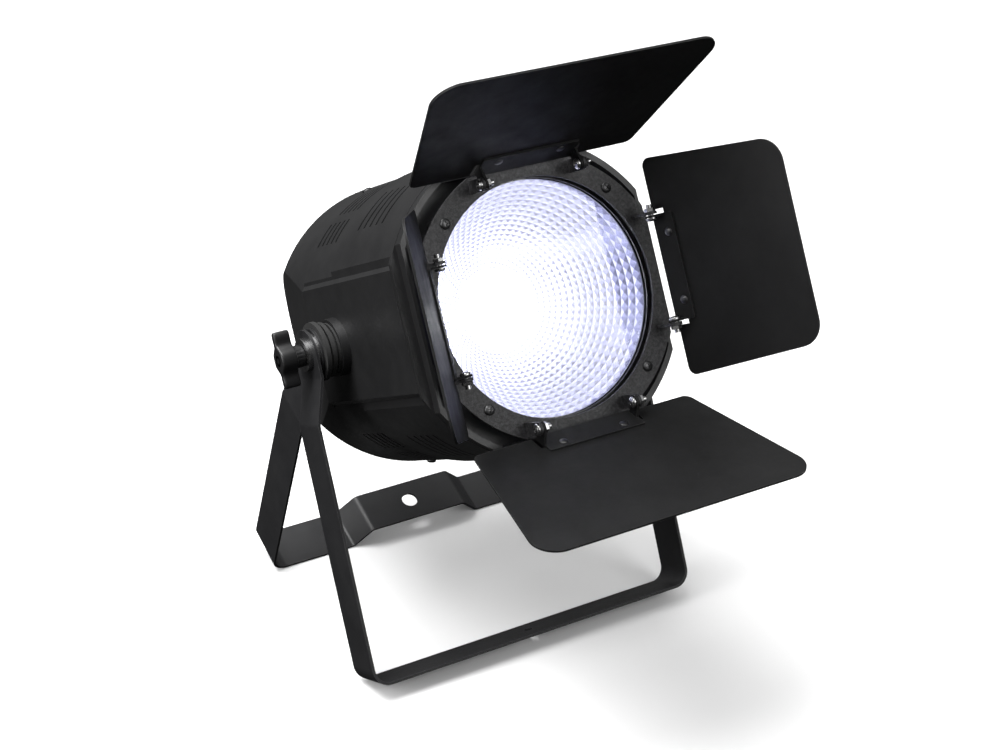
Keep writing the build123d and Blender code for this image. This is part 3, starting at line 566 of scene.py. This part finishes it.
def make_hinge_fasteners():
    """Cross screws and hex nuts of the leaf hinges."""
    found = hinge_spots()
    heads = [aim(at, way, rng.uniform(0, 3)) for at, way, _, _ in found]
    screws = joined(pan_head(3.8 * MM, 2.4 * MM, HINGE_SCREW, 9.4 * MM), heads)
    piece("hinge_cross_screws", screws, "zinc", "head", stands_for=("hinge_screws",))
    flat = 4.0 * MM
    tall = 2.6 * MM
    nut = lathe([(HINGE_SCREW, 0), (flat * 0.92, 0), (flat, 0.25 * MM), (flat, tall - 0.35 * MM),
                 (flat * 0.88, tall), (HINGE_SCREW, tall), (HINGE_SCREW, 0)], 6)
    lathe([(0, tall * 0.6), (HINGE_SCREW * 0.98, tall * 0.6), (HINGE_SCREW * 0.98, tall + 0.5 * MM),
           (HINGE_SCREW * 0.7, tall + 0.9 * MM), (0, tall + 0.9 * MM)], 20, nut)
    nuts = joined(nut, [aim(at, way, rng.uniform(0, 1)) for _, _, at, way in found])
    piece("hinge_hex_nuts", nuts, "zinc", "head", stands_for=("hinge_nuts",))


def make_case_screws():
    """Screws round the rear cover, and those of the rear panel."""
    cover = []
    for degrees in COVER_SCREWS_AT:
        radial = Vector((math.cos(math.radians(degrees)), math.sin(math.radians(degrees)), 0))
        cover.append(aim(radial * COVER_SCREW_R + Vector((0, 0, COVER_SCREW_Z)), radial, rng.uniform(0, 3)))
    screws = joined(pan_head(3.5 * MM, 2.0 * MM, 1.7 * MM, 7 * MM), cover)
    piece("cover_cross_screws", screws, "dark_steel", "head", stands_for=("cover_screws",))
    back = [aim((PANEL_SCREW_R * math.cos(a), PANEL_SCREW_R * math.sin(a), PANEL_SCREW_Z), (0, 0, -1),
                rng.uniform(0, 3)) for a in CORNER_TURNS]
    screws = joined(pan_head(2.8 * MM, 1.8 * MM, 1.5 * MM, 6 * MM), back)
    piece("panel_cross_screws", screws, "zinc", "head", stands_for=("panel_screws",))


def make_rivets():
    """Domed rivets that hold each leaf on its bracket."""
    for door in DOORS:
        low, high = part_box(f"leaf_rivets_{door}")
        joint = JOINTS[f"leaf_{door}_hinge"]
        along = Vector(joint["axis"]).normalized()
        middle = (low + high) / 2
        hinge = Vector(joint["pos_m"])
        offset = middle - hinge
        offset -= along * offset.dot(along)
        plate = leaf_normal(door)
        depths = [v.co.dot(plate) for v in NODES[f"leaf_rivets_{door}"].data.vertices]
        near, far = max(depths), min(depths)
        spots = []
        for side in (-1, 1):
            base = hinge + offset + along * side * RIVET_SPREAD
            base += plate * ((near + far) / 2 - base.dot(plate))
            spots.append(aim(base, plate))
        half = (near - far) / 2
        dome = [(RIVET_HEAD_R * math.cos(a), half - RIVET_HEAD + RIVET_HEAD * math.sin(a)) for a in
                [math.pi / 2 * i / 5 for i in range(5)]]
        rear = [(RIVET_TAIL_R * math.sin(a), -half + RIVET_TAIL - RIVET_TAIL * math.cos(a)) for a in
                [math.pi / 2 * i / 4 for i in range(5)]]
        shank = [(RIVET_SHANK_R, -half + 0.8 * MM), (RIVET_SHANK_R, half - RIVET_HEAD)]
        rivet = lathe(rear + shank + dome + [(0, half)], 28)
        piece(f"rivets_domed_{door}", joined(rivet, spots), "dark_steel", f"leaf_{door}",
              place=Matrix(), stands_for=(f"leaf_rivets_{door}",))


def leaf_normal(door):
    """Unit normal of a leaf's sheet, towards the optical axis."""
    polygons = NODES[f"leaf_{door}"].data.polygons
    largest = max(polygons, key=lambda p: p.area)
    normal = largest.normal.copy()
    inwards = centre + beam * 200 * MM - largest.center
    return normal if normal.dot(inwards) > 0 else -normal


make_ring_screws()
make_hinge_fasteners()
make_case_screws()
make_rivets()


# ==== knobs ======================================================================================
KNOB_FACE = 129.6 * MM
WING_FACE = 135.6 * MM
KNOB_END = 148 * MM
WING_HALF = 20.5 * MM
WING_WIDE = 5.4 * MM
WAIST = 1.2 * MM
HUB_RIBS = 18
RIB_DEEP = 0.3                           # mm
HUB_PROFILE = ((7.4, 0), (7.8, 0.4), (8.0, 1.0), (8.1, 3), (8.3, 6.0), (8.3, 6.6))       # mm
CAP_TOP = KNOB_END - KNOB_FACE
CAP_PROFILE = ((0, -1.2), (4.6, -1.2), (4.6, -0.3), (4.1, 0), (2.2, 0), (1.6, -0.5), (0, -0.6))  # mm


def wing_outline(inset, z, points=72):
    """Two-winged outline with a thin waist on either side of the hub."""
    outline = []
    for i in range(points):
        a = 2 * math.pi * i / points
        along = math.copysign(abs(math.cos(a)) ** 0.75, math.cos(a)) * (WING_HALF - inset)
        taper = 0.72 - WAIST / WING_WIDE * math.exp(-(((abs(along) - 11.5 * MM) / (4.5 * MM)) ** 2))
        taper += 0.9 * math.exp(-((along / (7.5 * MM)) ** 4))
        wide = math.copysign(abs(math.sin(a)) ** 0.55, math.sin(a)) * (WING_WIDE * taper - inset)
        outline.append((along, wide, z))
    return outline


for side, word in ((-1, "left"), (1, "right")):
    body = f"knob_{word}"
    place = HEAD @ aim((side * KNOB_FACE, TRUNNION_Y, 0), (side, 0, 0), 0.0)
    if abs((place.to_3x3() @ Vector((1, 0, 0))).dot(rise)) < 0.5:
        place = place @ Matrix.Rotation(math.pi / 2, 4, "Z")
    hub_tall = WING_FACE - KNOB_FACE
    wing = stack([[(x, y, z + hub_tall) for x, y, z in ring] for ring in
                  cushion_edges(wing_outline, KNOB_END - WING_FACE, 1.6 * MM, 5)])
    piece(f"knob_wing_{word}", wing, "knob", body, place, 40, stands_for=(f"knob_{word}",))
    rings = []
    for radius, z in HUB_PROFILE:
        ring = []
        for i in range(HUB_RIBS * 6):
            a = 2 * math.pi * i / (HUB_RIBS * 6)
            groove = RIB_DEEP * max(0.0, math.cos(a * HUB_RIBS)) if 1 < z < 6.5 else 0.0
            r = (radius - groove) * MM
            ring.append((r * math.cos(a), r * math.sin(a), z * MM))
        rings.append(ring)
    piece(f"knob_hub_{word}", stack(rings), "knob", body, place, 35)
    cap = lathe([(radius * MM, CAP_TOP + z * MM) for radius, z in CAP_PROFILE], 36)
    piece(f"knob_cap_{word}", cap, "dark_steel", body, place, 35)

# ==== display digits behind the smoked window ====================================================
SEGMENTS = {"0": "abcdef", "1": "bc"}
# Each stroke's place across and up, in digit half-heights, and whether it is upright.
STROKES = {"a": (0, 1, 0), "b": (0.5, 0.5, 1), "c": (0.5, -0.5, 1), "d": (0, -1, 0), "e": (-0.5, -0.5, 1),
           "f": (-0.5, 0.5, 1)}
STROKE_WIDE = 1.1 * MM
DIGIT_PITCH = 10
DIGITS_Y = 48 * MM
DIGIT_BACK_Z = -123.52 * MM
DIGIT_FACE_Z = -123.35 * MM
digits = bmesh.new()
tall = 5.2 * MM
for place_index, digit in enumerate("001"):
    x0 = (DIGIT_PITCH - DIGIT_PITCH * place_index) * MM
    for name in SEGMENTS[digit]:
        sx, sy, upright = STROKES[name]
        wide, high = (STROKE_WIDE, tall * 0.88) if upright else (tall * 0.82, STROKE_WIDE)
        block(wide, high, DIGIT_BACK_Z, DIGIT_FACE_Z, 0.4 * MM, 0.05 * MM,
              (x0 - sx * tall, DIGITS_Y + sy * tall), digits)
piece("display_digits", digits, "digit", "head", smooth=0)

# ==== socket contacts ============================================================================
# Places on the panel and the contacts' circle are in millimetres.
SOCKET_AT = {"dmx_in": (-27, -4), "dmx_out": (27, -4), "power_in": (-27, -40), "power_out": (27, -40)}
CONTACT_CIRCLE = 4.6
CONTACT_TIP_Z = -116.8 * MM
CONTACT_R = 1.35 * MM
CONTACT_TALL = 8 * MM
CONTACT_PROFILE = [(0, -0.2 * MM), (1.0 * MM, 0), (CONTACT_R, 0.6 * MM), (CONTACT_R, CONTACT_TALL),
                   (0, CONTACT_TALL)]
pins = bmesh.new()
for name, (x, y) in SOCKET_AT.items():
    count = 3 if name.startswith("dmx") else 2
    for i in range(count):
        a = math.radians(30) + 2 * math.pi * i / count
        pin = lathe(CONTACT_PROFILE, 16)
        pin.transform(Matrix.Translation(((x + CONTACT_CIRCLE * math.cos(a)) * MM,
                                          (y + CONTACT_CIRCLE * math.sin(a)) * MM, CONTACT_TIP_Z)))
        data = bpy.data.meshes.new("pin")
        pin.to_mesh(data)
        pin.free()
        pins.from_mesh(data)
        bpy.data.meshes.remove(data)
piece("socket_contacts", pins, "brass", "head")

# ==== floor, light and camera ====================================================================
FLOOR_HALF = 12.0
floor_mesh = bpy.data.meshes.new("floor")
floor_mesh.from_pydata([(-FLOOR_HALF, -FLOOR_HALF, 0), (FLOOR_HALF, -FLOOR_HALF, 0),
                        (FLOOR_HALF, FLOOR_HALF, 0), (-FLOOR_HALF, FLOOR_HALF, 0)], [], [(0, 1, 2, 3)])
floor = bpy.data.objects.new("floor", floor_mesh)
bpy.context.scene.collection.objects.link(floor)
paper = Nodes("floor_paper")
paper.link(paper.blend(paper.noise(3), (0.88, 0.88, 0.88), (0.9, 0.9, 0.9)), paper.shader.inputs["Base Color"])
paper.shader.inputs["Roughness"].default_value = 0.9
floor_mesh.materials.append(paper.material)
floor.visible_diffuse = False            # the floor throws no light back on the black object
floor.visible_glossy = False

# The object is lit and mirrored by a sky that dims towards the horizon; the camera sees plain white.
SKY_GREYS = ((0.0, 0.02), (0.46, 0.05), (0.56, 0.20), (0.75, 0.5), (1.0, 0.95))
world = bpy.data.worlds.new("studio")
world.use_nodes = True
sky = world.node_tree
ramp = sky.nodes.new("ShaderNodeValToRGB")
stops = ramp.color_ramp.elements         # starts with one stop at 0 and one at 1
for place, _ in SKY_GREYS[1:-1]:
    stops.new(place)
for stop, (_, grey) in zip(stops, SKY_GREYS):
    stop.color = (grey, grey, grey, 1)
split = sky.nodes.new("ShaderNodeSeparateXYZ")
height = sky.nodes.new("ShaderNodeMapRange")
height.inputs["From Min"].default_value = -1.0
sky.links.new(sky.nodes.new("ShaderNodeTexCoord").outputs["Generated"], split.inputs[0])
sky.links.new(split.outputs["Z"], height.inputs["Value"])
sky.links.new(height.outputs["Result"], ramp.inputs["Fac"])
seen = sky.nodes.new("ShaderNodeMix")
seen.data_type = "RGBA"
seen.inputs["B"].default_value = (1, 1, 1, 1)
sky.links.new(sky.nodes.new("ShaderNodeLightPath").outputs["Is Camera Ray"], seen.inputs["Factor"])
sky.links.new(ramp.outputs["Color"], seen.inputs["A"])
sky.links.new(seen.outputs["Result"], sky.nodes["Background"].inputs["Color"])
bpy.context.scene.world = world
bpy.context.scene.view_settings.view_transform = "Standard"


def area_light(name, place, target, size, power):
    data = bpy.data.lights.new(name, "AREA")
    data.shape = "RECTANGLE"
    data.size, data.size_y = size
    data.energy = power
    light = bpy.data.objects.new(name, data)
    light.location = place
    light.rotation_euler = (Vector(target) - Vector(place)).to_track_quat("-Z", "Y").to_euler()
    bpy.context.scene.collection.objects.link(light)


area_light("key_top", (-0.7, 0.3, 2.3), (0, 0, 0.25), (1.8, 1.4), 95)
area_light("side_left", (-1.9, 0.1, 0.9), (0, 0, 0.25), (0.8, 1.5), 24)
area_light("front_fill", (0.9, -2.1, 1.5), (0, 0, 0.25), (1.6, 1.2), 22)

# The camera stands to the left of the beam and above it, rolled a little, and looks down at the lamp.
CAMERA_AZIMUTH = math.radians(-30.6)
CAMERA_HEIGHT = math.radians(28.18)
CAMERA_FROM_PIVOT = Vector((-0.6551, -1.1649, 0.6662))
LENS = 72.8
SENSOR_WIDTH = 36
ROLL = math.radians(0.5)
backward = Vector((math.sin(CAMERA_AZIMUTH) * math.cos(CAMERA_HEIGHT),
                   -math.cos(CAMERA_AZIMUTH) * math.cos(CAMERA_HEIGHT), math.sin(CAMERA_HEIGHT)))
camera_data = bpy.data.cameras.new("camera")
camera_data.lens = LENS
camera_data.sensor_width = SENSOR_WIDTH
camera_data.clip_start = 0.01
camera = bpy.data.objects.new("camera", camera_data)
camera.location = pivot + CAMERA_FROM_PIVOT
camera.rotation_euler = (backward.to_track_quat("Z", "Y") @ Quaternion((0, 0, 1), ROLL)).to_euler()
bpy.context.scene.collection.objects.link(camera)
bpy.context.scene.camera = camera
